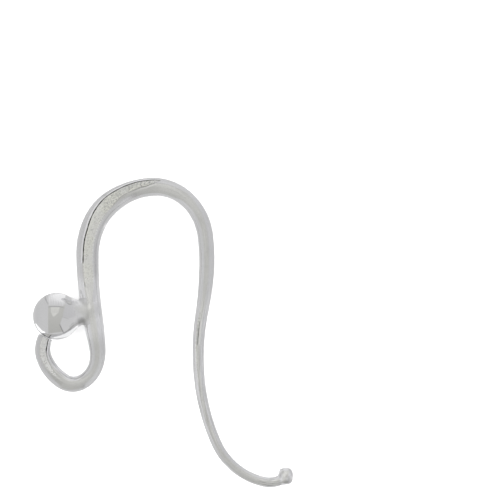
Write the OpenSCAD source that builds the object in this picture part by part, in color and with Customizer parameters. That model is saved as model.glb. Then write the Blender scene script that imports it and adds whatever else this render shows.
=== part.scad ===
// Cast ear wire: a tapered shepherd's hook with a ball, an open loop below it and a beaded tip.
// It is one casting, and it lies on its side, propped up by the ball.
// The hook is laid out flat first, as seen from above: X to the tip's side, Y to the bow's side.

/* [Loop] */
// Length of wire in the loop, from its free end round to the front leg
loop_l = 7.25; // [6.5:0.05:8.5]
// Wire diameter in the loop, at its thickest
loop_d = 1.12; // [0.8:0.02:1.3]
// Hairline gap between the loop's free end and the ball
loop_gap = 0.05; // [0.03:0.01:0.3]

/* [Front leg] */
// Length of wire in the front leg
leg_l = 6.15; // [5:0.05:9]
// Wire diameter in the front leg and the shoulder, at its thickest
leg_d = 1.53; // [1.2:0.01:1.8]

/* [Bow] */
// Length of wire in the shoulder, which turns the leg towards the bow
shoulder_l = 6.65; // [5.5:0.05:8]
// Length of wire in the bow, over the ear
bow_l = 7.85; // [6.6:0.05:9]
// Wire diameter in the bow
bow_d = 1.02; // [0.8:0.02:1.2]

/* [Rear leg and tail] */
// Length of wire in the rear leg, behind the ear
rear_l = 11.05; // [8.5:0.05:14]
// Wire diameter in the rear leg, where it passes through the ear
rear_d = 0.67; // [0.6:0.01:0.8]
// Length of wire in the tail, up to the middle of the tip bead
tail_l = 5.65; // [4.5:0.05:7]
// Diameter of the rounded bead at the tip
tip_d = 0.92; // [0.7:0.02:1.2]

/* [Ball] */
// Diameter of the ball
ball_d = 3.05; // [2.5:0.05:3.6]
// Diameter of the neck where it leaves the ball
neck_d = 1.7; // [1:0.05:1.9]
// Radius of the fillet where the neck leaves the ball
neck_fillet = 0.35; // [0.1:0.05:0.5]
// Distance of the neck along the front leg, from the leg's lower end
neck_up = 2.45; // [2:0.05:3.5]

/* [Hidden] */

// Bend tables of the wire's centre line, from the loop's free end to the tip.
// Columns: length of the stretch, its turn in degrees (anticlockwise is plus)
// and the wire's diameter where the stretch ends.
LOOP = [
    [0.20 * loop_l, 50, 0.92 * loop_d],
    [0.26 * loop_l, 34, loop_d],
    [0.18 * loop_l, 61, 0.86 * loop_d],
    [0.20 * loop_l, 45, 0.83 * loop_d],
    [0.16 * loop_l, 25, 0.70 * leg_d],
];
FRONT_LEG = [
    [0.28 * leg_l, 2, 0.86 * leg_d],
    [0.72 * leg_l, -10, 0.96 * leg_d],
];
SHOULDER = [
    [0.34 * shoulder_l, -28, leg_d],
    [0.22 * shoulder_l, -23, 0.98 * leg_d],
    [0.21 * shoulder_l, -17, 0.83 * leg_d],
    [0.23 * shoulder_l, -18, 1.16 * bow_d],
];
BOW = [
    [0.30 * bow_l, -44, 1.02 * bow_d],
    [0.36 * bow_l, -43, bow_d],
    [0.34 * bow_l, -11, 0.96 * bow_d],
];
REAR_LEG = [
    [0.22 * rear_l, -6, 1.2 * rear_d],
    [0.44 * rear_l, 18, 1.04 * rear_d],
    [0.34 * rear_l, 16, rear_d],
];
TAIL = [
    [0.75 * tail_l, 55, 0.95 * rear_d],
    [0.25 * tail_l, 52, 0.95 * rear_d],
];
BENDS = concat(LOOP, FRONT_LEG, SHOULDER, BOW, REAR_LEG, TAIL);
leg_row = len(LOOP);
last_row = len(BENDS) - 1;

// Diameter and direction of the wire at the loop's free end, which points away from the ball
free_end_d = 0.87 * loop_d;
free_end_heading = -117;

// Rings of the wire: the longest stretch and the largest angle between two, and the sides of each
ring_gap = 0.6;
ring_angle = 7;
ring_sides = 20;

ball_r = ball_d / 2;
neck_r = neck_d / 2;

// Columns of the bend tables, and the wire's direction and diameter where a row starts
function length_of(row) = BENDS[row][0];
function turn_of(row) = BENDS[row][1];
function heading_at(row) = row == 0 ? free_end_heading : heading_at(row - 1) + turn_of(row - 1);
function diameter_at(row) = row == 0 ? free_end_d : BENDS[row - 1][2];
function towards(heading, distance) = distance * [cos(heading), sin(heading), 0];

// Straight line from an arc's start to its end
function chord(length, turn) =
    turn == 0 ? length : length * sin(turn / 2) / (turn / 2 * PI / 180);
function arc_end(start, heading, length, turn) =
    start + towards(heading + turn / 2, chord(length, turn));

// Start of a row, with the loop's free end at [0, 0, 0]
function row_start(row) =
    row == 0
    ? [0, 0, 0]
    : arc_end(row_start(row - 1), heading_at(row - 1), length_of(row - 1), turn_of(row - 1));

// Ring at a share of a row's length: [centre, heading, diameter]
function ring(row, share) =
    [
        arc_end(row_start(row), heading_at(row), share * length_of(row), share * turn_of(row)),
        heading_at(row) + share * turn_of(row),
        diameter_at(row) * (1 - share) + diameter_at(row + 1) * share,
    ];
function centre_of(ring) = ring[0];
function heading_of(ring) = ring[1];
function radius_of(ring) = ring[2] / 2;

// The wire starts inside the ball, and its free end is trimmed to the ball's curve afterwards
ball_centre = -towards(free_end_heading, ball_r + loop_gap);
buried_end = [0.6 * ball_centre, free_end_heading, free_end_d];
rings = concat(
    [buried_end],
    [
        for (row = [0:last_row])
            let (steps = ceil(max(length_of(row) / ring_gap, abs(turn_of(row)) / ring_angle)))
                for (step = [0:steps - 1]) ring(row, step / steps)
    ],
    [ring(last_row, 1)]
);
tip_centre = centre_of(ring(last_row, 1));

// Ring at a distance along the wire from the start of a row
function ring_at(row, distance) =
    distance > length_of(row)
    ? ring_at(row + 1, distance - length_of(row))
    : ring(row, distance / length_of(row));

// Where the neck meets the front leg's centre line, and its radius there, inside the leg
foot_ring = ring_at(leg_row, neck_up);
neck_foot = centre_of(foot_ring);
neck_foot_r = 0.95 * radius_of(foot_ring);

// Resting pose. The hook rests on the ball, the tip bead and one ring of the bow. The slope of
// the floor's normal, in the flat hook's frame, follows from all three: the ball and the bead
// give it along the line between them, and the bow's lowest ring gives it across that line.
tip_offset = tip_centre - ball_centre;
along = tip_offset / norm(tip_offset);
across = [-along.y, along.x, 0];
slope_along = (tip_d - ball_d) / 2 / norm(tip_offset);
slope_across = max([
    for (r = rings)
        let (offset = centre_of(r) - ball_centre)
            if (offset * across > ball_r)
                (radius_of(r) - ball_r - slope_along * (offset * along)) / (offset * across)
]);
slope = slope_along * along + slope_across * across;
up = slope + [0, 0, sqrt(1 - slope * slope)];
tilt = acos(up.z);
tilt_axis = cross(up, [0, 0, 1]) / norm(cross(up, [0, 0, 1]));

// Turns a point of the flat hook to its resting pose
function tilted(p) =
    p * cos(tilt) + cross(tilt_axis, p) * sin(tilt) + tilt_axis * (tilt_axis * p) * (1 - cos(tilt));

// Round forms that the box is measured from, as [centre, radius]: rings, ball and bead
reach = concat(
    [for (r = rings) [tilted(centre_of(r)), radius_of(r)]],
    [[tilted(ball_centre), ball_r], [tilted(tip_centre), tip_d / 2]]
);
low = [for (i = [0:2]) min([for (b = reach) b[0][i] - b[1]])];
high = [for (i = [0:2]) max([for (b = reach) b[0][i] + b[1]])];
base_centre = [(low.x + high.x) / 2, (low.y + high.y) / 2, low.z];

// Tapered wire: one ring of points round each ring's centre, square to the wire
module wire() {
    points = [
        for (r = rings)
            let (sideways = towards(heading_of(r) + 90, radius_of(r)), upwards = [0, 0, radius_of(r)])
                for (k = [0:ring_sides - 1])
                    let (angle = 360 * (k + 0.5) / ring_sides)
                        centre_of(r) + cos(angle) * sideways + sin(angle) * upwards
    ];
    last = len(rings) - 1;
    caps = [
        [for (k = [0:ring_sides - 1]) k],
        [for (k = [ring_sides - 1:-1:0]) last * ring_sides + k],
    ];
    walls = [
        for (i = [0:last - 1])
            for (k = [0:ring_sides - 1])
                let (
                    a = i * ring_sides + k,
                    b = i * ring_sides + (k + 1) % ring_sides,
                    c = b + ring_sides,
                    d = a + ring_sides
                )
                    each [[a, c, b], [a, d, c]]
    ];
    polyhedron(points = points, faces = concat(caps, walls), convexity = 10);
}

// The ball is turned so that the seam of its round surface lies clear of the neck
seam_turn = 120;

module ball(clearance = 0) {
    translate(ball_centre)
        rotate([0, 0, seam_turn])
            sphere(r = ball_r + clearance, $fn = 72);
}

// What is trimmed off the loop's free end, so that it follows the ball's curve a hairline away
module free_end_trim() {
    intersection() {
        ball(clearance = loop_gap);
        translate(ball_centre)
            rotate([0, 90, free_end_heading])
                cylinder(d = 2 * free_end_d, h = ball_d);
    }
}

// Neck from the ball's middle to the front leg's, with a fillet that leaves the ball smoothly.
// It narrows to the leg's thickness on the way.
module neck() {
    run = neck_foot - ball_centre;
    fillet_x = neck_r + neck_fillet;
    fillet_z = sqrt(pow(ball_r + neck_fillet, 2) - pow(fillet_x, 2));
    ball_side = atan2(fillet_z, fillet_x);
    steps = 6;
    fillet = [
        for (i = [0:steps])
            let (angle = 180 + ball_side * (1 - i / steps))
                [fillet_x + neck_fillet * cos(angle), fillet_z + neck_fillet * sin(angle)]
    ];
    translate(ball_centre)
        rotate([0, 90, atan2(run.y, run.x)])
            rotate_extrude($fn = 48)
                polygon(concat([[0, 0]], fillet, [[neck_foot_r, norm(run)], [0, norm(run)]]));
}

module tip_bead() {
    translate(tip_centre)
        sphere(d = tip_d, $fn = 48);
}

module ear_wire() {
    color("silver")
        translate(-base_centre)
            rotate(a = tilt, v = tilt_axis)
                union() {
                    difference() {
                        wire();
                        free_end_trim();
                    }
                    ball();
                    neck();
                    tip_bead();
                }
}

ear_wire();
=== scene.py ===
import math

import bmesh
import bpy
import numpy as np
from mathutils import Matrix, Vector


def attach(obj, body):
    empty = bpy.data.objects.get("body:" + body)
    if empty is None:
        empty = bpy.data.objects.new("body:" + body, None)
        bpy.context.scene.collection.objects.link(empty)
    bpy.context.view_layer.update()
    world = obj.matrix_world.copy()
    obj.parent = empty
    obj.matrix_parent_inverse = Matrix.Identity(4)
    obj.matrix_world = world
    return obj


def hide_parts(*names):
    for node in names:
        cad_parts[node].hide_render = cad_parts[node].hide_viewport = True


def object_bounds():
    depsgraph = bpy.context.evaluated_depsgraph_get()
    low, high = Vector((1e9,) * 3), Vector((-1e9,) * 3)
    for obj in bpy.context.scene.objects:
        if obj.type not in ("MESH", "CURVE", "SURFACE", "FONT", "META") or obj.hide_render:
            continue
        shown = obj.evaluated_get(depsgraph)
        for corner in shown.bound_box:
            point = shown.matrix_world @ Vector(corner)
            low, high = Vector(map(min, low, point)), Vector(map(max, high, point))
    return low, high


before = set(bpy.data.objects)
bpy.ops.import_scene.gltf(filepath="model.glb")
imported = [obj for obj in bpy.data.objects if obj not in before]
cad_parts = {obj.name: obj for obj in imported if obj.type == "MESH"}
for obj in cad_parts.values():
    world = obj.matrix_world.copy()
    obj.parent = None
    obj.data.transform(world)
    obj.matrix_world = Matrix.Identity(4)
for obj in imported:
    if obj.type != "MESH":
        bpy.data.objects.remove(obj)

CAD_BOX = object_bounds()
MM = 0.001

# Sizes of the casting, as in the construction
LOOP_LENGTH = 7.25 * MM
LOOP_D = 1.12 * MM
LOOP_GAP = 0.05 * MM
LEG_LENGTH = 6.15 * MM
LEG_D = 1.53 * MM
SHOULDER_LENGTH = 6.65 * MM
BOW_LENGTH = 7.85 * MM
BOW_D = 1.02 * MM
REAR_LENGTH = 11.05 * MM
REAR_D = 0.67 * MM
TAIL_LENGTH = 5.65 * MM
TIP_R = 0.46 * MM
BALL_R = 1.525 * MM
NECK_R = 0.85 * MM
NECK_UP = 2.45 * MM

# Bend tables of the wire's centre line, from the loop's free end to the tip.
# Columns: length of the stretch, its turn in degrees and the wire's diameter where it ends.
LOOP = [
    (0.20 * LOOP_LENGTH, 50, 0.92 * LOOP_D),
    (0.26 * LOOP_LENGTH, 34, LOOP_D),
    (0.18 * LOOP_LENGTH, 61, 0.86 * LOOP_D),
    (0.20 * LOOP_LENGTH, 45, 0.83 * LOOP_D),
    (0.16 * LOOP_LENGTH, 25, 0.70 * LEG_D),
]
FRONT_LEG = [
    (0.28 * LEG_LENGTH, 2, 0.86 * LEG_D),
    (0.72 * LEG_LENGTH, -10, 0.96 * LEG_D),
]
SHOULDER = [
    (0.34 * SHOULDER_LENGTH, -28, LEG_D),
    (0.22 * SHOULDER_LENGTH, -23, 0.98 * LEG_D),
    (0.21 * SHOULDER_LENGTH, -17, 0.83 * LEG_D),
    (0.23 * SHOULDER_LENGTH, -18, 1.16 * BOW_D),
]
BOW = [
    (0.30 * BOW_LENGTH, -44, 1.02 * BOW_D),
    (0.36 * BOW_LENGTH, -43, BOW_D),
    (0.34 * BOW_LENGTH, -11, 0.96 * BOW_D),
]
REAR_LEG = [
    (0.22 * REAR_LENGTH, -6, 1.2 * REAR_D),
    (0.44 * REAR_LENGTH, 18, 1.04 * REAR_D),
    (0.34 * REAR_LENGTH, 16, REAR_D),
]
TAIL = [
    (0.75 * TAIL_LENGTH, 55, 0.95 * REAR_D),
    (0.25 * TAIL_LENGTH, 52, 0.95 * REAR_D),
]
FREE_END_D = 0.87 * LOOP_D
FREE_END_HEADING = math.radians(-117)

# Fineness of the centre line and the mesh, and the angles of a ring's points, which go from the
# wire's left side over the viewer's side
SAMPLE = 0.02 * MM
RING_STEP = 0.07 * MM
SIDES = 48
RING_ANGLES = 2 * math.pi * np.arange(SIDES) / SIDES

# How far bends and tapers are eased along the wire, and how many such widths the easing reaches
BEND_EASE = 0.18 * MM
TAPER_EASE = 0.6 * MM
EASE_REACH = 3


# Centre line of the wire, in the flat hook's frame: X to the tip's side, Y to the bow's side,
# Z towards the viewer, with the loop's free end at the origin

def eased(values, width):
    """Values along the wire, blurred over that length so that no bend or taper starts abruptly."""
    reach = int(EASE_REACH * width / SAMPLE)
    offsets = np.arange(-reach, reach + 1) * SAMPLE
    weights = np.exp(-0.5 * (offsets / width) ** 2)
    return np.convolve(np.pad(values, reach, mode="edge"), weights / weights.sum(), mode="valid")


def centre_line(rows):
    """Samples along the wire: length, X and Y, heading and radius."""
    steps, turns, radii = [], [], []
    diameter = FREE_END_D
    for length, turn, end_diameter in rows:
        count = round(length / SAMPLE)
        steps += [length / count] * count
        turns += [math.radians(turn) / count] * count
        radii += list(np.linspace(diameter, end_diameter, count, endpoint=False) / 2)
        diameter = end_diameter
    turns = eased(np.array(turns), BEND_EASE)
    heading = FREE_END_HEADING + np.append(0, np.cumsum(turns))
    midway = (heading[1:] + heading[:-1]) / 2
    return {
        "length": np.append(0, np.cumsum(steps)),
        "x": np.append(0, np.cumsum(steps * np.cos(midway))),
        "y": np.append(0, np.cumsum(steps * np.sin(midway))),
        "heading": heading,
        "radius": eased(np.append(radii, diameter / 2), TAPER_EASE),
    }


LINE = centre_line(LOOP + FRONT_LEG + SHOULDER + BOW + REAR_LEG + TAIL)
WIRE_END = LINE["length"][-1]
NECK_AT = LOOP_LENGTH + NECK_UP


def along_wire(what, length):
    return np.interp(length, LINE["length"], LINE[what])


def place_at(length):
    """Points of the centre line, which runs on straight past the tip."""
    heading = along_wire("heading", length)
    past = np.maximum(length - WIRE_END, 0)
    x = along_wire("x", length) + past * np.cos(heading)
    y = along_wire("y", length) + past * np.sin(heading)
    return np.stack([x, y, np.zeros_like(x)], axis=-1)


def facing(heading):
    return np.stack([np.cos(heading), np.sin(heading), np.zeros_like(heading)], axis=-1)


# Flats that the finishing left on the side that faces the viewer. Columns: length along the wire
# in mm, where the flat's left and right edge lie, in wire radii to the left of the wire's middle
# for one who follows the wire, and how crisp the left and the right edge are
LOOP_FLAT = [
    (0.0, 0.52, -0.25, 0.7, 0),
    (0.5, 0.60, -0.28, 1, 0),
    (0.9, 0.53, -0.29, 1, 0),
    (1.1, 0.50, -0.30, 0.4, 0),
    (1.4, 0.46, -0.28, 0.3, 0),
    (1.9, 0.40, -0.25, 0.1, 0),
    (3.4, 0.10, 0.05, 0, 0),
]
SHOULDER_FLAT = [
    (10.2, 0.10, -0.08, 0, 0),
    (11.2, 0.29, -0.50, 0, 0),
    (11.3, 0.29, -0.51, 0.4, 0),
    (11.5, 0.30, -0.54, 0.4, 0),
    (11.6, 0.32, -0.56, 0, 0),
    (12.75, 0.37, -0.57, 0, 0),
    (12.85, 0.35, -0.57, 0.9, 0),
    (13.6, 0.31, -0.57, 1, 0),
    (15.0, 0.31, -0.56, 1, 0),
    (17.0, 0.60, -0.45, 1, 0),
    (18.0, 0.64, -0.12, 1, 0.2),
    (19.0, 0.70, -0.02, 1, 0.4),
    (19.8, 0.72, 0.12, 1, 0.5),
    (20.2, 0.73, 0.34, 0.9, 0.3),
    (20.7, 0.76, 0.70, 0.2, 0),
]
REAR_FLAT = [
    (29.5, -0.10, -0.15, 0, 0),
    (30.8, -0.10, -0.50, 0, 0),
    (31.0, -0.10, -0.50, 0.6, 0),
    (32.3, -0.10, -0.50, 0.6, 0),
    (32.5, -0.10, -0.50, 0, 0),
    (35.0, -0.20, -0.25, 0, 0),
]
# Depth that is noted far from any flat, and how near the flats come to a plane
NO_FLAT = -1 * MM
FLATNESS = 0.8

# Unevenness of the wire as a share of its radius, and the waves that it is the sum of.
# Columns: wave length over 2 pi in mm, turns round the wire, start and strength.
WAVER = 0.006
WAVES = [
    (0.62, 2, 0, 1),
    (0.97, -3, 1.7, 1),
    (0.41, -1, 0.6, 0.6),
]


def flat_at(length, angle):
    """What the flats make of the wire, at an angle from its left side over the viewer's side.

    First the distance inside a flat's nearest edge, minus outside it, with that edge's crispness
    and 1 if it is the right one. Then the wire's radius there, as a share of the round wire's.
    """
    depth = np.full(np.broadcast(length, angle).shape, float(NO_FLAT))
    crisp, share, right_edge = np.zeros_like(depth), np.ones_like(depth), np.zeros_like(depth)
    for rows in (LOOP_FLAT, SHOULDER_FLAT, REAR_FLAT):
        columns = np.array(rows).T
        stations = columns[0] * MM
        left, right, left_crisp, right_crisp = (np.interp(length, stations, c) for c in columns[1:])
        left, right = np.arccos(left), np.arccos(right)
        here = (length >= stations[0]) & (length <= stations[-1])
        from_left, from_right = angle - left, right - angle
        within = np.minimum(from_left, from_right) * along_wire("radius", length)
        depth = np.where(here, np.maximum(within, NO_FLAT), depth)
        crisp = np.where(here, np.where(from_left < from_right, left_crisp, right_crisp), crisp)
        right_edge = np.where(here, from_right < from_left, right_edge)
        half = (right - left) / 2
        off_middle = np.abs(angle - (left + right) / 2).clip(0, half)
        chord = np.cos(half) / np.cos(off_middle)
        share = np.where(here & (within > 0), 1 - FLATNESS * (1 - chord), share)
    return depth, crisp, right_edge, share


def wavering(length, angle):
    """Slight unevenness of a casting that was polished by hand, as a share of the radius."""
    waves = sum(
        strength * np.sin(length / (size * MM) + turns * angle + start)
        for size, turns, start, strength in WAVES
    )
    return WAVER * waves / sum(strength for *_, strength in WAVES)


def unevenness(length, angle):
    """The wire's radius, with its flats and waves, as a share of the round wire's."""
    return flat_at(length, angle)[3] + wavering(length, angle)


BALL_CENTRE = -(BALL_R + LOOP_GAP) * facing(np.array(FREE_END_HEADING))
TIP_CENTRE = place_at(np.array(WIRE_END))
NECK_FOOT = place_at(np.array(NECK_AT))


# Distance of points to the casting's skin round the neck, with the fillets of a casting

FILLET = 0.34 * MM
LEG_FILLET = 0.18 * MM

# Length of wire on either side of the neck that is looked at, where the neck starts to narrow on
# its way to the leg, and its end's radius as a share of the leg's
LEG_REACH = 4 * MM
NARROWS_FROM = 0.6
NECK_END = 0.95


def smooth_union(a, b, fillet):
    overlap = np.maximum(fillet - np.abs(a - b), 0) / fillet
    return np.minimum(a, b) - overlap**2 * fillet / 4


def beside_leg(points):
    """Length along the wire of the nearest point of its centre line, and the distance left of it."""
    near = np.abs(LINE["length"] - NECK_AT) < LEG_REACH
    centres = np.stack([LINE["x"][near], LINE["y"][near]], axis=-1)
    gaps = points[:, None, :2] - centres[None]
    index = (gaps**2).sum(axis=2).argmin(axis=1)
    gap = gaps[np.arange(len(points)), index]
    left = facing(LINE["heading"][near][index] + math.pi / 2)[:, :2]
    return LINE["length"][near][index], (gap * left).sum(axis=1)


def leg_distance(points):
    """Distance to the skin of the wire near the neck, minus inside it."""
    length, sideways = beside_leg(points)
    angle = np.arctan2(points[:, 2], sideways) % (2 * math.pi)
    radius = along_wire("radius", length) * unevenness(length, angle)
    return np.hypot(sideways, points[:, 2]) - radius


def neck_distance(points):
    """Distance to the neck's skin, which narrows to the leg's thickness as it gets there."""
    run = NECK_FOOT - BALL_CENTRE
    share = ((points - BALL_CENTRE) @ run / (run @ run)).clip(0, 1)
    end_r = NECK_END * along_wire("radius", NECK_AT)
    radius = np.interp(share, [NARROWS_FROM, 1], [NECK_R, end_r])
    return np.linalg.norm(points - BALL_CENTRE - share[:, None] * run, axis=1) - radius


def skin_distance(points):
    ball = np.linalg.norm(points - BALL_CENTRE, axis=1) - BALL_R
    joined = smooth_union(ball, neck_distance(points), FILLET)
    return smooth_union(joined, leg_distance(points), LEG_FILLET)


def onto_skin(points, rounds=3):
    """Moves points straight to the skin."""
    nudge = 0.002 * MM
    least_steepness = 0.1
    for _ in range(rounds):
        distance = skin_distance(points)
        slope = np.stack([
            (skin_distance(points + nudge * axis) - skin_distance(points - nudge * axis)) / (2 * nudge)
            for axis in np.eye(3)
        ], axis=1)
        steepness = (slope**2).sum(axis=1)[:, None].clip(least_steepness)
        points = points - distance[:, None] * slope / steepness
    return points


# Wire: rings square to its centre line, from the middle of the free end's face to the tip's pole

# Free end: radius of its rim, rings on its face and rim, and length of wire that gives way to
# the ball's curve
EDGE_R = 0.08 * MM
FACE_RINGS = 5
EDGE_RINGS = 5
FOLLOW = 0.5 * MM

# Tip bead: where its finer rings start, how many they are, and the fillet between wire and bead
BEAD_START = WIRE_END - 1.5 * TIP_R
LEAD_RINGS = 5
BEAD_RINGS = 26
BEAD_FILLET = 0.3 * MM

# How square its corners are (2 is round), how far it rises on the bow's side in bead radii, and
# over which stretch both set in, in bead radii along the wire from its middle
BEAD_SQUARENESS = 3
BEAD_RISE = 0.2
BEAD_ONSET = (-0.9, -0.2)


def smooth_max(a, b, width):
    return -smooth_union(-a, -b, width)


def wire_profile():
    """Length and radius of each ring, with the free end's rounded rim and the tip bead."""
    end_r = along_wire("radius", 0)
    face = [(0, share * (end_r - EDGE_R)) for share in np.linspace(0, 1, FACE_RINGS)]
    rim = [
        (EDGE_R * (1 - math.cos(angle)), end_r - EDGE_R * (1 - math.sin(angle)))
        for angle in np.linspace(0, math.pi / 2, EDGE_RINGS)[1:]
    ]
    body = np.linspace(2 * EDGE_R, BEAD_START, round(BEAD_START / RING_STEP))
    bead = np.concatenate([
        np.linspace(BEAD_START, WIRE_END - TIP_R, LEAD_RINGS)[1:-1],
        WIRE_END + TIP_R * np.sin(np.linspace(-math.pi / 2, math.pi / 2, BEAD_RINGS)),
    ])
    length = np.concatenate([body, bead])
    sphere = np.sqrt(np.maximum(TIP_R**2 - (length - WIRE_END) ** 2, 0))
    wire = np.where(length < WIRE_END, along_wire("radius", length), 0)
    radius = smooth_max(wire, sphere, BEAD_FILLET)
    radius[length >= WIRE_END] = sphere[length >= WIRE_END]
    start = np.array(face + rim)
    return np.append(start[:, 0], length), np.append(start[:, 1], radius)


def blocky(points, share):
    """The tip bead's points, moved by that share from a round bead to a block with round corners.

    They keep their height, because the hook rests on the bead.
    """
    offset = points - TIP_CENTRE
    out = np.linalg.norm(offset, axis=-1, keepdims=True)
    square = (np.abs(offset) ** BEAD_SQUARENESS).sum(axis=-1, keepdims=True) ** (1 / BEAD_SQUARENESS)
    offset[..., :2] *= 1 + share * (out / square.clip(1e-9) - 1)
    high = (offset[..., 1:2] / TIP_R).clip(0, 1)
    rise = share * BEAD_RISE * TIP_R * high**2 * (3 - 2 * high)
    return TIP_CENTRE + offset + rise * np.array([0, 1, 0])


def wire_grid():
    """Points of the wire: one row of SIDES points for each ring, with the ring's length along it."""
    length, plain_radius = wire_profile()
    centre, heading = place_at(length), along_wire("heading", length)
    forward, sideways = facing(heading), facing(heading + math.pi / 2)
    radius = (plain_radius[:, None] * unevenness(length[:, None], RING_ANGLES))[..., None]
    points = (
        centre[:, None]
        + radius * np.cos(RING_ANGLES)[None, :, None] * sideways[:, None]
        + radius * np.sin(RING_ANGLES)[None, :, None] * np.array([0, 0, 1])
    )
    # The free end's face follows the ball's curve a hairline away
    hollow_r = BALL_R + LOOP_GAP
    back = (np.sqrt(hollow_r**2 - plain_radius**2) - hollow_r) * (1 - length / FOLLOW).clip(0, 1)
    points = points + (back[:, None] * forward)[:, None]
    on_bead = np.interp((length - WIRE_END) / TIP_R, BEAD_ONSET, [0, 1])[:, None, None]
    return blocky(points, on_bead), length


# Ball and neck: rings round the line from the ball to the leg

# Gap that is left in the wire for the neck: points to either side of its middle, and half of its
# length along the wire
HOLE_SIDES = 11
HOLE_REACH = 0.92 * MM

# Rings of the neck and the ball, and the share of the ball's rings over which their points
# spread evenly
NECK_RINGS = 9
BALL_RINGS = 46
SPREAD_OVER = 1 / 3


def hole_rim(length):
    """Grid places, in order, round the gap that is left in the wire for the neck."""
    rings = np.flatnonzero(np.abs(length - NECK_AT) < HOLE_REACH)
    first, last = rings[0], rings[-1]
    sides = list(range(-HOLE_SIDES, HOLE_SIDES + 1))
    return first, last, (
        [(ring, HOLE_SIDES) for ring in range(first, last)]
        + [(last, side) for side in reversed(sides[1:])]
        + [(ring, -HOLE_SIDES) for ring in range(last, first, -1)]
        + [(first, side) for side in sides[:-1]]
    )


def ball_grid(rim_points):
    """Points of the neck and ball: one row for each ring, from the wire's gap to the far pole."""
    axis = NECK_FOOT - BALL_CENTRE
    axis /= np.linalg.norm(axis)
    across, upwards = np.cross([0, 0, 1], axis), np.array([0, 0, 1])
    offset = rim_points - NECK_FOOT
    start = np.unwrap(np.arctan2(offset @ upwards, offset @ across))
    turn = math.copysign(2 * math.pi, start[-1] - start[0])
    even = start[0] + turn * np.arange(len(start)) / len(start)
    even += (start - even).mean()

    def ring(polar, angle):
        spread = np.cos(angle)[:, None] * across + np.sin(angle)[:, None] * upwards
        return BALL_CENTRE + BALL_R * (math.cos(polar) * axis + math.sin(polar) * spread)

    first_polar = math.asin((NECK_R + 0.5 * FILLET) / BALL_R)
    first_ring = ring(first_polar, start)
    rows = [
        rim_points + (first_ring - rim_points) * share
        for share in np.linspace(0, 1, NECK_RINGS + 1)[1:-1]
    ]
    for share in np.linspace(0, 1, BALL_RINGS + 1)[:-1]:
        evenness = min(share / SPREAD_OVER, 1)
        polar = first_polar + share * (math.pi - first_polar)
        rows.append(ring(polar, start + evenness * (even - start)))
    return rows, BALL_CENTRE - BALL_R * axis


class Skin:
    """Points and faces of one closed skin, gathered grid by grid.

    Finish holds, for a point of the wire, its distance inside the nearest edge of a flat, that
    edge's crispness, 1 if it is the flat's right edge, and its place on the wire laid straight.
    """

    def __init__(self):
        self.points = []
        self.faces = []
        self.finish = {}

    def add(self, points):
        first = len(self.points)
        self.points.extend(points)
        return list(range(first, first + len(points)))

    def bridge(self, ring_a, ring_b):
        count = len(ring_a)
        for i in range(count):
            j = (i + 1) % count
            self.faces.append((ring_a[i], ring_a[j], ring_b[j], ring_b[i]))

    def fan(self, ring, pole):
        count = len(ring)
        self.faces.extend((ring[i], ring[(i + 1) % count], pole) for i in range(count))


def wire_skin(skin):
    """Adds the wire to the skin, and gives the points, in order, round the neck's gap in it."""
    points, length = wire_grid()
    depth, crisp, right_edge, _ = flat_at(length[:, None], RING_ANGLES)
    round_wire = np.array([np.cos(RING_ANGLES), np.sin(RING_ANGLES)])
    straight = round_wire[:, None] * along_wire("radius", length)[:, None]
    first, last, rim = hole_rim(length)
    inside = set(
        (ring, side % SIDES)
        for ring in range(first + 1, last)
        for side in range(1 - HOLE_SIDES, HOLE_SIDES)
    )
    index = {}
    for ring in range(1, len(length) - 1):
        for side in range(SIDES):
            if (ring, side) not in inside:
                index[ring, side] = len(skin.points)
                skin.finish[len(skin.points)] = (
                    depth[ring, side],
                    crisp[ring, side],
                    right_edge[ring, side],
                    (length[ring], straight[0, ring, side], straight[1, ring, side]),
                )
                skin.points.append(points[ring, side])
    for ring in range(1, len(length) - 2):
        for side in range(SIDES):
            corners = [(ring, side), (ring, (side + 1) % SIDES)]
            corners += [(ring + 1, (side + 1) % SIDES), (ring + 1, side)]
            near_hole = first <= ring < last and (side < HOLE_SIDES or side >= SIDES - HOLE_SIDES)
            if not near_hole:
                skin.faces.append(tuple(index[corner] for corner in corners))
    for ring, pole_ring in ((1, 0), (len(length) - 2, len(length) - 1)):
        pole = skin.add([points[pole_ring, 0]])[0]
        skin.fan([index[ring, side] for side in range(SIDES)], pole)
    return [index[ring, side % SIDES] for ring, side in rim]


def casting_skin():
    """The whole casting as one closed skin in the flat hook's frame."""
    skin = Skin()
    before = wire_skin(skin)
    rows, pole = ball_grid(np.array([skin.points[i] for i in before]))
    for row in rows:
        after = skin.add(row)
        skin.bridge(before, after)
        before = after
    skin.fan(before, skin.add([pole])[0])
    return skin


# Evening out of the mesh round the neck: how far it reaches from where the neck leaves the ball,
# over which stretch it fades, how far a point moves in one round, and the number of rounds
EVENED_REACH = 1.35 * MM
EVENED_FADE = 0.45 * MM
EVENING_STEP = 0.5
EVENING_ROUNDS = 40


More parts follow.
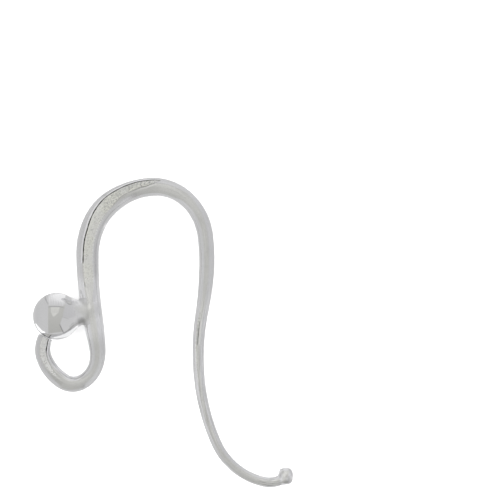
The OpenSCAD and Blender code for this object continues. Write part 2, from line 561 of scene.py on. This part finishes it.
def relaxed_neck(points, faces):
    """Evens out the mesh round the neck and lays it on the filleted skin."""
    run = NECK_FOOT - BALL_CENTRE
    middle = BALL_CENTRE + run * BALL_R / np.linalg.norm(run)
    from_middle = np.linalg.norm(points - middle, axis=1)
    share = ((EVENED_REACH - from_middle) / EVENED_FADE).clip(0, 1)
    moving = np.flatnonzero(share > 0)
    edges = {tuple(sorted(pair)) for face in faces for pair in zip(face, face[1:] + face[:1])}
    edges = np.array([edge for edge in edges if share[edge[0]] > 0 or share[edge[1]] > 0])
    ends = np.concatenate([edges, edges[:, ::-1]])
    links = np.bincount(ends[:, 0], minlength=len(points))[moving, None]
    step = EVENING_STEP * share[moving, None]
    for _ in range(EVENING_ROUNDS):
        totals = np.zeros_like(points)
        np.add.at(totals, ends[:, 0], points[ends[:, 1]])
        middle_of_near = totals[moving] / links
        moved = points[moving] + step * (middle_of_near - points[moving])
        points[moving] = onto_skin(moved, rounds=1)
    points[moving] = onto_skin(points[moving])
    return points


# Resting pose: on the ball, the tip bead and the bow

def resting_turn():
    """Turn that lays the flat hook down: the floor's normal follows from ball, bead and bow."""
    offset = TIP_CENTRE - BALL_CENTRE
    span = np.linalg.norm(offset)
    along = offset / span
    across = np.array([-along[1], along[0], 0])
    slope_along = (TIP_R - BALL_R) / span
    length = LINE["length"]
    gaps = place_at(length) - BALL_CENTRE
    out = gaps @ across
    far = out > BALL_R
    fall = LINE["radius"][far] - BALL_R - slope_along * (gaps[far] @ along)
    slope = slope_along * along + (fall / out[far]).max() * across
    up = Vector(slope + np.array([0, 0, math.sqrt(1 - slope @ slope)]))
    return up.rotation_difference(Vector((0, 0, 1))).to_matrix()


def laid_down(points):
    """The flat hook's points in the resting frame, in the middle of the construction's box."""
    turn = resting_turn()
    turned = points @ np.array(turn).T
    low, high = turned.min(axis=0), turned.max(axis=0)
    box_low, box_high = np.array(CAD_BOX[0]), np.array(CAD_BOX[1])
    move = (box_low + box_high - low - high) / 2
    move[2] = box_low[2] - low[2]
    return turned + move, Matrix.Translation(Vector(move)) @ turn.to_4x4()


# Finish of the skin: how far off the ball its mirror polish fades

POLISH_FADE = 0.1 * MM

# Corner between neck and leg, darkened with painted shade: how far to either side of it and round the
# neck the painted shade reaches, how much of it there is at most, and the darker painted shade at the
# crotch on the loop's side, from the ball's middle
CREVICE = 0.22 * MM
CREVICE_REACH = 2 * MM
CREVICE_SHARE = 0.3
CROTCH = np.array([1.68, -0.36, 0]) * MM
CROTCH_R = 0.1 * MM
CROTCH_FADE = 0.28 * MM


def crevice_depth(points):
    """How deep points lie in the corner between the neck and the leg, most so on the loop's side, which
    sets the painted shade there.
    """
    corner = 1 - np.abs(neck_distance(points) - leg_distance(points)) / CREVICE
    from_crotch = np.linalg.norm((points - BALL_CENTRE - CROTCH)[:, :2], axis=1)
    crotch = 1 - (from_crotch - CROTCH_R) / CROTCH_FADE
    return np.maximum(CREVICE_SHARE * corner.clip(0, 1), crotch.clip(0, 1))


def note_finish(mesh, skin, points):
    """Notes for the silver, point by point, in mm where they are lengths."""
    count = len(points)
    depth, crisp, right_edge = np.full(count, float(NO_FLAT)), np.zeros(count), np.zeros(count)
    others = np.array([i for i in range(count) if i not in skin.finish])
    straight = np.zeros((count, 3))
    straight[others, 0], straight[others, 1] = beside_leg(points[others])
    straight[others, 2] = points[others, 2]
    for i, finish in skin.finish.items():
        depth[i], crisp[i], right_edge[i], straight[i] = finish
    off_ball = np.linalg.norm(points - BALL_CENTRE, axis=1) - BALL_R
    polish = 1 - (off_ball / POLISH_FADE).clip(0, 1)
    neck, crevice_shade = np.zeros(count), np.zeros(count)
    neck[others] = 1 - polish[others]
    # Painted shade in the corner between neck and leg, darkest at the crotch
    near_neck = np.flatnonzero(np.linalg.norm(points - NECK_FOOT, axis=1) < CREVICE_REACH)
    crevice_shade[near_neck] = crevice_depth(points[near_neck])
    notes = {
        "flat_depth_mm": depth / MM,
        "edge_crispness": crisp,
        "right_edge": right_edge,
        "ball_polish": polish,
        "neck_skin": neck,
        "crevice_shade": crevice_shade,
    }
    for name, values in notes.items():
        noted = mesh.attributes.new(name, "FLOAT", "POINT")
        noted.data.foreach_set("value", values.astype(np.float32))
    laid_out = mesh.attributes.new("straight_wire_mm", "FLOAT_VECTOR", "POINT")
    laid_out.data.foreach_set("vector", (straight / MM).astype(np.float32).ravel())


def make_casting():
    """The ear wire as one piece, and the matrix that takes the flat hook's frame to the resting one."""
    skin = casting_skin()
    flat_points = relaxed_neck(np.array(skin.points), skin.faces)
    points, pose = laid_down(flat_points)
    mesh = bpy.data.meshes.new("ear_wire_casting")
    mesh.from_pydata([tuple(p) for p in points], [], skin.faces)
    note_finish(mesh, skin, flat_points)
    shape = bmesh.new()
    shape.from_mesh(mesh)
    bmesh.ops.recalc_face_normals(shape, faces=shape.faces)
    shape.to_mesh(mesh)
    shape.free()
    mesh.shade_smooth()
    piece = bpy.data.objects.new("ear_wire_casting", mesh)
    bpy.context.collection.objects.link(piece)
    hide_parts("ear_wire")
    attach(piece, "root")
    return piece, pose


# Finish of the silver, with painted highlights and shade in its tone. Its tone goes from 0 for
# DULL_SILVER to 1 for WHITE_SILVER, or for SATIN_SILVER in patches of the flats.

DULL_SILVER = (0.50, 0.50, 0.50)
WHITE_SILVER = (0.985, 0.985, 1.0)
SATIN_SILVER = (0.985, 0.99, 0.945)
# Colour of the painted shade in the creases along crisp edges
PAINTED_CREASE_SHADE = (0.07, 0.07, 0.068)

# Tone of the round wire, and what is added to it elsewhere. The leaf is the shoulder flat's
# narrowing upper end, the lip is a painted highlight along a crisp edge, and the band is painted shade
# beside a flat's right edge.
WIRE_TONE = 0.60
FLAT_TONE = 0.30
LEAF_TONE = 0.05
# Painted sheen on stretches of the leg and the bow
LEG_SHEEN_TONE = 0.31
BOW_SHEEN_TONE = 0.1
# Painted top light on the tail's upper side
TAIL_TOP_LIGHT_TONE = 0.22
# Painted glints and shade on the tip bead
BEAD_TONE = 0.05
EDGE_HIGHLIGHT_TONE = 0.5
SHADE_BAND_TONE = -0.16
FLECK_TONE = -0.45
# Painted shade in the corner between neck and leg
CREVICE_SHADE_TONE = -0.85

# Where finishes and painted highlights and shade show along the wire, in mm from the loop's free end. A
# pair says where one sets in and where it is full, and four numbers also where it starts to fade and
# where it has gone.
LOOP_FLAT_SHOWS = (5, 4)
SHOULDER_FLAT_SHOWS = (11.2, 12.1)
LEAF_SHOWS = (15.6, 17.2)
BAND_SHOWS = (19.6, 18.8)
LOOP_MOTTLE_SHOWS = (6, 5)
LEG_MOTTLE_SHOWS = (13.4, 14.8)
LEG_MOTTLE_STRENGTHS = (0.5, 1)
SATIN_SHOWS = (5, 8)
# Stretches of the leg and the bow with painted sheen
LEG_SHEEN = (7.2, 8.5, 11.3, 12.3)
BOW_SHEEN = (20, 21, 23, 24.5)
TAIL_SHOWS = (40.5, 42.5)
BEAD_SHOWS = (44.0, 44.3)

# Stretches with painted highlight streaks. Columns: four such numbers, length and width of a streak in
# mm, how strong the streaks are, and the tone that is added under them
BEND_HIGHLIGHT_STREAKS = ((1.8, 2.6, 4.2, 5.2), 1.2, 0.05, 2.4, 0.3)
REAR_HIGHLIGHT_STREAKS = ((28.5, 31, 38, 40), 1.8, 0.07, 1.5, 0.1)
TAIL_HIGHLIGHT_STREAKS = ((42.2, 43.2, 44.1, 44.4), 0.8, 0.06, 1.8, 0)

# Where the bend's painted highlight streaks and the tail's painted top light show, in mm to the left of
# the wire's middle
BEND_INSIDE = (0.12, 0.28)
TAIL_LIT_SIDE = (-0.12, 0.2)
TAIL_STRENGTHS = (-0.1, 1)

# How much less of the leg's painted sheen the neck gets
NECK_SHEEN_LOSS = 0.6

# Where finishes and the painted shade band show, in mm inside the nearest edge of a flat, minus outside
# it
FLAT_SHOWS = (-0.02, 0.06)
BAND_NEAR = (-0.01, -0.06)
BAND_FAR = (-0.36, -0.22)
FLECKS_NEAR = (0.02, 0.06)
FLECKS_FAR = (0.55, 0.25)

# The painted highlight's middle along a crisp edge, how far from it that highlight fades and how far
# from the edge the painted shade of the crease does, in mm, and how much noise shifts the crease's
# fading
EDGE_HIGHLIGHT_AT = -0.095
EDGE_HIGHLIGHT_FADES = (0.075, 0.05)
CREASE_SHADE_FADES = (0.042, 0.026)
BLOT_STRENGTH = -0.05

# Spots of noise: their size and how fine their detail is. Patches say where mottles are strong,
# and blots break up the painted shade of the creases. A streak has its length and width in mm.
MOTTLE = (0.11 * MM, 3)
CLOUD = (1.3 * MM, 2)
PATCH = (1.1 * MM, 1)
FLECK = (0.17 * MM, 2)
BLOT = (0.3 * MM, 1)
# Spots of the tip bead's painted glints and shade
BEAD_GLINT_SPOT = (0.32 * MM, 0)
WIRE_STREAK = (2.5, 0.12)

# Strength of the spots in the tone. The ball takes a small share of the wire's.
MOTTLE_ON_FLATS = 2.0
MOTTLE_ON_WIRE = 0.25
CLOUD_STRENGTH = 0.2
STREAK_STRENGTH = 0.3
BEAD_GLINT_STRENGTH = 1.8
BALL_SHARE = 0.15
PATCH_RANGE = (-0.12, 0.12)
PATCH_STRENGTHS = (0.4, 1.3)
FLECK_RANGE = (0.10, 0.20)

# Roughness of the ball and of the wire, between the clouds and in them, and what is added
# elsewhere
BALL_ROUGHNESS = 0.075
WIRE_ROUGHNESS = (0.16, 0.24)
CLOUD_RANGE = (-0.2, 0.2)
FLAT_ROUGHNESS = 0.12
MOTTLE_ROUGHNESS = 0.12
NECK_ROUGHNESS = 0.22

# Height of the relief, and what the flats add to that of the mottles
MOTTLE_HEIGHT = 0.0016 * MM
MOTTLE_HEIGHT_ON_FLATS = 0.0032 * MM
STREAK_HEIGHT = 0.0035 * MM
CLOUD_HEIGHT = 0.004 * MM


class Nodes:
    """Short ways to add and join shader nodes."""

    def __init__(self, material):
        self.tree = material.node_tree

    def add(self, kind, settings=None, **inputs):
        node = self.tree.nodes.new(kind)
        for name, value in (settings or {}).items():
            setattr(node, name, value)
        for name, value in inputs.items():
            self.put(node, name.replace("_", " "), value)
        return node

    def put(self, node, socket, value):
        if isinstance(value, bpy.types.NodeSocket):
            self.tree.links.new(value, node.inputs[socket])
        else:
            node.inputs[socket].default_value = value

    def maths(self, operation, *values):
        node = self.add("ShaderNodeMath", {"operation": operation})
        for place, value in enumerate(values):
            self.put(node, place, value)
        return node.outputs[0]

    def scaled(self, value, by, onto=0):
        return self.maths("MULTIPLY_ADD", value, by, onto)

    def product(self, *values):
        result = values[0]
        for value in values[1:]:
            result = self.maths("MULTIPLY", result, value)
        return result

    def between(self, value, ends, strengths=(0, 1)):
        """Smooth step from the first to the second strength while the value goes from end to end."""
        node = self.add("ShaderNodeMapRange", {"interpolation_type": "SMOOTHSTEP"})
        given = (value, *ends, *strengths)
        for socket, value in zip(("Value", "From Min", "From Max", "To Min", "To Max"), given):
            self.put(node, socket, value)
        return node.outputs["Result"]

    def blend(self, share, first, second):
        node = self.add("ShaderNodeMix", {"data_type": "RGBA"})
        for socket, given in zip((0, 6, 7), (share, first, second)):
            self.put(node, socket, given)
        return node.outputs[2]

    def noise(self, size, detail):
        """Noise from -0.5 to 0.5 with spots of about that size."""
        place = self.add("ShaderNodeTexCoord").outputs["Object"]
        node = self.add("ShaderNodeTexNoise", Vector=place, Scale=1 / size, Detail=detail)
        return self.maths("SUBTRACT", node.outputs["Fac"], 0.5)

    def note(self, name, output="Fac"):
        return self.add("ShaderNodeAttribute", {"attribute_name": name}).outputs[output]


class SilverNodes(Nodes):
    """Nodes of the cast silver, with the notes and the noise that its finishes share."""

    def __init__(self, material):
        super().__init__(material)
        self.ball = self.note("ball_polish")
        self.wire = self.maths("SUBTRACT", 1, self.ball)
        self.neck = self.note("neck_skin")
        self.depth = self.note("flat_depth_mm")
        self.crisp = self.note("edge_crispness")
        self.along, self.left = self.on_wire("X"), self.on_wire("Y")
        self.mottle = self.noise(*MOTTLE)
        self.cloud = self.noise(*CLOUD)
        self.streak = self.streaks(*WIRE_STREAK)
        # The flats show on the shoulder and beyond, and on the loop
        on_shoulder = self.between(self.along, SHOULDER_FLAT_SHOWS)
        shows = self.maths("MAXIMUM", on_shoulder, self.between(self.along, LOOP_FLAT_SHOWS))
        self.flat = self.product(self.between(self.depth, FLAT_SHOWS), shows)
        # Their mottles are faint in places, and along the straight part of the leg
        up_the_leg = self.between(self.along, LEG_MOTTLE_SHOWS, LEG_MOTTLE_STRENGTHS)
        shows = self.maths("MAXIMUM", up_the_leg, self.between(self.along, LOOP_MOTTLE_SHOWS))
        patches = self.between(self.noise(*PATCH), PATCH_RANGE, PATCH_STRENGTHS)
        self.patches = self.product(patches, shows, self.flat)

    def on_wire(self, axis):
        """X is the length along the wire, Y the distance to the left of its course, both in mm."""
        place = self.note("straight_wire_mm", "Vector")
        return self.add("ShaderNodeSeparateXYZ", Vector=place).outputs[axis]

    def streaks(self, length_mm, width_mm):
        """Noise from -0.5 to 0.5, drawn out along the wire."""
        place = self.note("straight_wire_mm", "Vector")
        shape = (1 / length_mm, 1 / width_mm, 1 / width_mm)
        place = self.add("ShaderNodeMapping", Vector=place, Scale=shape).outputs["Vector"]
        node = self.add("ShaderNodeTexNoise", Vector=place, Scale=1, Detail=2)
        return self.maths("SUBTRACT", node.outputs["Fac"], 0.5)

    def stretch(self, start, full, fading, end):
        """1 on a stretch of the wire, with soft ends."""
        return self.product(
            self.between(self.along, (start, full)), self.between(self.along, (end, fading))
        )

    def painted_streaks(self, row, tone, *where):
        """The tone with painted highlight streaks on a stretch of the wire, or only on a side of it."""
        ends, length, width, strength, under = row
        share = self.product(self.stretch(*ends), *where)
        return self.scaled(share, self.scaled(self.streaks(length, width), strength, under), tone)

    def flat_tone(self):
        """Paler flats and a band of painted shade beside them, with mottles, clouds and streaks."""
        leaf = self.between(self.along, LEAF_SHOWS)
        tone = self.scaled(self.flat, self.scaled(leaf, LEAF_TONE - FLAT_TONE, FLAT_TONE), WIRE_TONE)
        # Painted shade band beside a flat's right edge
        shade_band = self.product(
            self.note("right_edge"),
            self.between(self.depth, BAND_NEAR),
            self.between(self.depth, BAND_FAR),
            self.between(self.along, BAND_SHOWS),
        )
        tone = self.scaled(shade_band, SHADE_BAND_TONE, tone)
        uneven = self.scaled(self.mottle, self.scaled(self.patches, MOTTLE_ON_FLATS, MOTTLE_ON_WIRE))
        uneven = self.scaled(self.cloud, CLOUD_STRENGTH, uneven)
        uneven = self.scaled(self.streak, STREAK_STRENGTH, uneven)
        return self.scaled(uneven, self.scaled(self.wire, 1 - BALL_SHARE, BALL_SHARE), tone)

    def edge_tone(self, tone):
        """The tone with a painted highlight along crisp edges, flecks inside them and painted shade in
        the corner between neck and leg.
        """
        from_edge_highlight = self.maths("ABSOLUTE", self.maths("SUBTRACT", self.depth, EDGE_HIGHLIGHT_AT))
        # Painted highlight along crisp edges
        edge_highlight = self.product(self.crisp, self.between(from_edge_highlight, EDGE_HIGHLIGHT_FADES))
        tone = self.scaled(edge_highlight, EDGE_HIGHLIGHT_TONE, tone)
        flecks = self.product(
            self.crisp,
            self.between(self.noise(*FLECK), FLECK_RANGE),
            self.between(self.depth, FLECKS_NEAR),
            self.between(self.depth, FLECKS_FAR),
        )
        tone = self.scaled(flecks, FLECK_TONE, tone)
        # Painted shade in the corner between neck and leg
        return self.scaled(self.note("crevice_shade"), CREVICE_SHADE_TONE, tone)

    def stretch_tone(self, tone):
        """The tone with what differs from stretch to stretch of the wire: painted highlight streaks,
        painted sheen on the leg and bow, painted top light on the tail and painted glints on the bead.
        """
        # Painted highlight streaks on the bend's inside, the rear leg and the tail
        tone = self.painted_streaks(BEND_HIGHLIGHT_STREAKS, tone, self.between(self.left, BEND_INSIDE))
        tone = self.painted_streaks(REAR_HIGHLIGHT_STREAKS, tone)
        tone = self.painted_streaks(TAIL_HIGHLIGHT_STREAKS, tone)
        off_neck = self.maths("SUBTRACT", self.wire, self.scaled(self.neck, NECK_SHEEN_LOSS))
        # Painted sheen on the leg, less of it on the neck, and on the bow
        tone = self.scaled(self.product(self.stretch(*LEG_SHEEN), off_neck), LEG_SHEEN_TONE, tone)
        tone = self.scaled(self.stretch(*BOW_SHEEN), BOW_SHEEN_TONE, tone)
        # Painted top light: the tail's upper side paler
        lit_side = self.between(self.left, TAIL_LIT_SIDE, TAIL_STRENGTHS)
        tail_top_light = self.product(self.between(self.along, TAIL_SHOWS), lit_side)
        tone = self.scaled(tail_top_light, TAIL_TOP_LIGHT_TONE, tone)
        # Painted glints and shade in spots on the tip bead
        bead_glints = self.scaled(self.noise(*BEAD_GLINT_SPOT), BEAD_GLINT_STRENGTH, BEAD_TONE)
        return self.scaled(self.between(self.along, BEAD_SHOWS), bead_glints, tone)

    def colour(self):
        """Grey silver from dull to white, and painted shade as dark creases at crisp edges."""
        tone = self.stretch_tone(self.edge_tone(self.flat_tone()))
        satin = self.product(self.patches, self.between(self.along, SATIN_SHOWS))
        white = self.blend(satin, (*WHITE_SILVER, 1), (*SATIN_SILVER, 1))
        metal = self.blend(tone, (*DULL_SILVER, 1), white)
        off_edge = self.maths("ABSOLUTE", self.depth)
        blots = self.scaled(self.noise(*BLOT), BLOT_STRENGTH, off_edge)
        # Painted shade in a dark crease along crisp edges
        crease_shade = self.product(self.crisp, self.between(blots, CREASE_SHADE_FADES))
        return self.blend(crease_shade, metal, (*PAINTED_CREASE_SHADE, 1))

    def roughness(self):
        """Satin flats and neck, softly shining wire and mirror-like ball."""
        rough = self.between(self.cloud, CLOUD_RANGE, WIRE_ROUGHNESS)
        rough = self.scaled(self.flat, FLAT_ROUGHNESS, rough)
        rough = self.scaled(self.mottle, MOTTLE_ROUGHNESS, rough)
        rough = self.scaled(self.neck, NECK_ROUGHNESS, rough)
        polished = {"Factor": self.ball, "A": rough, "B": BALL_ROUGHNESS}
        return self.add("ShaderNodeMix", {"data_type": "FLOAT"}, **polished).outputs[0]

    def bump(self):
        """Mottles and streaks on the wire, and broad clouds on all of the metal."""
        height = self.scaled(self.flat, MOTTLE_HEIGHT_ON_FLATS, MOTTLE_HEIGHT)
        height = self.product(self.mottle, height)
        height = self.scaled(self.streak, STREAK_HEIGHT, height)
        height = self.scaled(self.cloud, CLOUD_HEIGHT, self.product(height, self.wire))
        bump = self.add("ShaderNodeBump", Height=height, Distance=1.0, Strength=1.0)
        return bump.outputs["Normal"]


def silver():
    """Polished cast silver."""
    material = bpy.data.materials.new("cast_silver")
    material.use_nodes = True
    shader = material.node_tree.nodes["Principled BSDF"]
    make = SilverNodes(material)
    make.put(shader, "Base Color", make.colour())
    make.put(shader, "Roughness", make.roughness())
    make.put(shader, "Normal", make.bump())
    shader.inputs["Metallic"].default_value = 1
    return material


# Stage: a white floor, and a soft grey tent of cards that only the metal shows

PAPER_WHITE = 0.93
PAPER_ROUGHNESS = 0.8

# Brightness of the white behind all, of the light on the paper and of the room in the metal
WHITE = 1.1
DAYLIGHT = 2.4
ROOM_GREY = 0.69

COOL = (0.99, 0.99, 1)
WARM = (1, 1, 0.955)
WHITE_LIGHT = (1, 1, 1)

# The tent's radius round the ball in m, and the radii of its layers of cards as shares of it
TENT_R = 0.25
LOW_WALLS_LAYER = 1.02
CARD_LAYER = 1
BALL_CARD_LAYER = 0.96
SEAM_LAYER = 0.9
NEXT_LAYER = 0.01

# Metal that shows the ball's own cards is nearer than their radius by up to the first, or farther
# by up to the second
BALL_NEARER = 1.6 * MM
BALL_FARTHER = 0.1 * MM


def seen_at(x, y):
    """Direction of what the ball mirrors x and y ball radii right of and above its middle."""
    depth = max(1 - x * x - y * y, 0)
    normal = Vector((x, y, math.sqrt(depth)))
    return 2 * normal.z * normal - Vector((0, 0, 1))


def glow(name, colour, nearest, farthest, doubled):
    """Light of a card, which only metal at those distances shows. Other metal shows the room.

    If doubled, all metal that is mirrored in other metal shows it too.
    """
    material = bpy.data.materials.new(name)
    material.use_nodes = True
    material.node_tree.nodes.clear()
    make = Nodes(material)
    ray = make.add("ShaderNodeLightPath").outputs
    length = ray["Ray Length"]
    near_enough = make.maths("LESS_THAN", length, farthest)
    shown = make.product(near_enough, make.maths("GREATER_THAN", length, nearest))
    if doubled:
        mirrored_twice = make.maths("GREATER_THAN", ray["Ray Depth"], 1.5)
        shown = make.maths("MAXIMUM", shown, mirrored_twice)
    strength = make.product(shown, make.note("brightness"))
    strength = make.scaled(make.maths("SUBTRACT", 1, shown), ROOM_GREY, strength)
    light = make.add("ShaderNodeEmission", Color=(*colour, 1), Strength=strength)
    make.add("ShaderNodeOutputMaterial", Surface=light.outputs["Emission"])
    return material


def card(name, rows, colour, strengths, layer, pose, ball_only=False, doubled=False):
    """Glowing card of the tent. rows are lines of points, given by where the ball mirrors them.

    strengths are the card's brightness along the first row and the last. A ball_only card shows
    to metal at the ball's distance alone.
    """
    distance = TENT_R * layer
    middle = pose @ Vector(BALL_CENTRE)
    turn = pose.to_3x3()
    points, faces = [], []
    width = len(rows[0])
    for row in rows:
        points += [middle + distance * (turn @ seen_at(x, y)) for x, y in row]
    for i in range(len(rows) - 1):
        for j in range(width - 1):
            a = i * width + j
            faces.append((a, a + 1, a + width + 1, a + width))
    mesh = bpy.data.meshes.new(name)
    mesh.from_pydata(points, [], faces)
    brightness = np.repeat(np.linspace(*strengths, len(rows)), width).astype(np.float32)
    mesh.attributes.new("brightness", "FLOAT", "POINT").data.foreach_set("value", brightness)
    nearest, farthest = (distance - BALL_NEARER, distance + BALL_FARTHER) if ball_only else (0, 1)
    mesh.materials.append(glow(name, colour, nearest, farthest, doubled))
    sheet = bpy.data.objects.new(name, mesh)
    bpy.context.collection.objects.link(sheet)
    sheet.visible_camera = sheet.visible_diffuse = sheet.visible_shadow = False


def filled(edges, count=10):
    """Rows of points between a card's left and right edge, whose corners are given in pairs."""
    edges = np.array(edges, float)
    corners = range(len(edges))
    steps = np.linspace(0, len(edges) - 1, count * (len(edges) - 1) + 1)
    left, right = (
        np.stack([np.interp(steps, corners, edges[:, side, axis]) for axis in (0, 1)], axis=1)
        for side in (0, 1)
    )
    shares = np.linspace(0, 1, count + 1)
    return [[a + (b - a) * share for share in shares] for a, b in zip(left, right)]


def strip(points, width):
    """Rows of points along both sides of a narrow card."""
    points = np.array(points)
    course = np.gradient(points, axis=0)
    sideways = np.stack([-course[:, 1], course[:, 0]], axis=1)
    sideways /= np.linalg.norm(sideways, axis=1)[:, None]
    return [points - sideways * width / 2, points + sideways * width / 2]


# Cards by where the ball mirrors them, in ball radii right of and above its middle. Corners come
# in pairs, one on each side of the card, and the brightness is that at the first pair and at the
# last.

# Pairs from the top down. Columns: name, corners, colour, brightness
CARDS = [
    ("overhead", [
        ((-0.32, 0.50), (0.40, 0.50)),
        ((-0.32, -0.05), (0.30, -0.03)),
        ((-0.32, -0.35), (0.17, -0.35)),
        ((-0.34, -0.72), (0.28, -0.66)),
    ], WARM, (0.62, 0.53)),
    ("right_wall", [
        ((0.40, 0.50), (0.75, 0.62)),
        ((0.30, -0.03), (0.97, -0.15)),
    ], COOL, (0.67, 0.635)),
]

# Dark seams of the room. Columns: name, course, width, brightness
SEAMS = [
    ("window_sill", [(-0.33, 0.38), (0.0, 0.415), (0.34, 0.365)], 0.035, 0.48),
    ("left_corner", [(-0.33, 0.50), (-0.61, 0.775)], 0.03, 0.47),
    ("right_corner", [(0.17, -0.34), (0.30, -0.74)], 0.035, 0.32),
    ("right_edge", [(0.283, -0.023), (0.54, -0.116)], 0.02, 0.50),
]

# Cards that the ball alone shows, because they would be streaks along the wire, with the columns
# of CARDS. The pairs of the window and the skylight go from the top down, the others' from left to
# right.
BALL_CARDS = [
    ("window", [
        ((-0.40, 1.0), (0.30, 1.03)),
        ((-0.38, 0.72), (0.37, 0.72)),
        ((-0.345, 0.45), (0.345, 0.44)),
    ], WHITE_LIGHT, (1.12, 0.84)),
    ("left_wall", [
        ((-0.94, 0.10), (-0.93, -0.18)),
        ((-0.78, 0.58), (-0.80, -0.42)),
        ((-0.61, 0.775), (-0.60, -0.62)),
        ((-0.34, 0.51), (-0.34, -0.74)),
    ], WHITE_LIGHT, (0.69, 0.605)),
    ("table_left", [
        ((-0.85, -0.30), (-0.89, -0.31)),
        ((-0.71, -0.47), (-0.79, -0.53)),
        ((-0.47, -0.66), (-0.55, -0.77)),
    ], WHITE_LIGHT, (1.4, 1.4)),
    ("table_right", [
        ((-0.15, -0.80), (-0.17, -0.93)),
        ((0.28, -0.79), (0.35, -0.935)),
        ((0.60, -0.62), (0.74, -0.69)),
        ((0.80, -0.36), (0.92, -0.42)),
    ], WHITE_LIGHT, (1.1, 1.1)),
    ("skylight", [
        ((-0.216, 0.385), (0.167, 0.385)),
        ((-0.20, 0.19), (0.13, 0.17)),
        ((-0.11, 0.0), (-0.05, 0.0)),
    ], WARM, (0.78, 0.78)),
]

# Low walls round the ball's rim, which darken outwards from ROOM_GREY
LOW_GREY = 0.58
RIM_RADII = (0.74, 0.78, 0.84, 0.90, 0.96, 0.995)
RIM_POINTS = 49


def room():
    """Even daylight on the floor and white behind all, but a grey room in the metal."""
    world = bpy.data.worlds.new("room")
    bpy.context.scene.world = world
    world.use_nodes = True
    world.node_tree.nodes.clear()
    make = Nodes(world)
    ray = make.add("ShaderNodeLightPath").outputs

    def choose(kind, otherwise, then):
        given = {"Factor": ray[kind], "A": otherwise, "B": then}
        return make.add("ShaderNodeMix", {"data_type": "FLOAT"}, **given).outputs[0]

    strength = choose("Is Camera Ray", choose("Is Diffuse Ray", ROOM_GREY, DAYLIGHT), WHITE)
    light = make.add("ShaderNodeBackground", Color=(1, 1, 1, 1), Strength=strength)
    make.add("ShaderNodeOutputWorld", Surface=light.outputs["Background"])


def floor():
    material = bpy.data.materials.new("white_paper")
    material.use_nodes = True
    shader = material.node_tree.nodes["Principled BSDF"]
    shader.inputs["Base Color"].default_value = (PAPER_WHITE, PAPER_WHITE, PAPER_WHITE, 1)
    shader.inputs["Roughness"].default_value = PAPER_ROUGHNESS
    mesh = bpy.data.meshes.new("floor")
    corners = [(-1, -1, 0), (1, -1, 0), (1, 1, 0), (-1, 1, 0)]
    mesh.from_pydata(corners, [], [(0, 1, 2, 3)])
    mesh.materials.append(material)
    sheet = bpy.data.objects.new("floor", mesh)
    bpy.context.collection.objects.link(sheet)
    sheet.visible_glossy = False


def stage(pose):
    bpy.context.scene.view_settings.view_transform = "Standard"
    room()
    floor()
    around = np.linspace(0, 2 * math.pi, RIM_POINTS)
    rim = [[(radius * math.cos(a), radius * math.sin(a)) for a in around] for radius in RIM_RADII]
    card("low_walls", rim, WHITE_LIGHT, (ROOM_GREY, LOW_GREY), LOW_WALLS_LAYER, pose, ball_only=True)
    for i, (name, edges, colour, strengths) in enumerate(CARDS):
        card(name, filled(edges), colour, strengths, CARD_LAYER - NEXT_LAYER * i, pose)
    for i, (name, points, width, strength) in enumerate(SEAMS):
        strengths = (strength, strength)
        card(name, strip(points, width), WHITE_LIGHT, strengths, SEAM_LAYER - NEXT_LAYER * i, pose)
    for i, (name, edges, colour, strengths) in enumerate(BALL_CARDS):
        layer = BALL_CARD_LAYER - NEXT_LAYER * i
        doubled = name == "window"
        card(name, filled(edges), colour, strengths, layer, pose, ball_only=True, doubled=doubled)


# Camera: square to the flat hook, as the photo is

# The hook's size that one pixel of the photo shows, the width of the whole picture, and its
# middle in the flat hook's frame
PIXEL = 0.065 * MM
PICTURE = 500 * PIXEL
FRAME_MIDDLE = Vector((13.3, 5.7, 0)) * MM

# Lens and sensor in mm, and how many times nearer or farther than the hook the camera still sees
LENS = 200
SENSOR = 36
CLIP = 100


def camera(pose):
    data = bpy.data.cameras.new("camera")
    data.lens, data.sensor_width = LENS, SENSOR
    distance = PICTURE * LENS / SENSOR
    data.clip_start, data.clip_end = distance / CLIP, distance * CLIP
    eye = bpy.data.objects.new("camera", data)
    bpy.context.collection.objects.link(eye)
    eye.matrix_world = pose @ Matrix.Translation(FRAME_MIDDLE + Vector((0, 0, distance)))
    bpy.context.scene.camera = eye


piece, pose = make_casting()
piece.data.materials.append(silver())
camera(pose)
stage(pose)
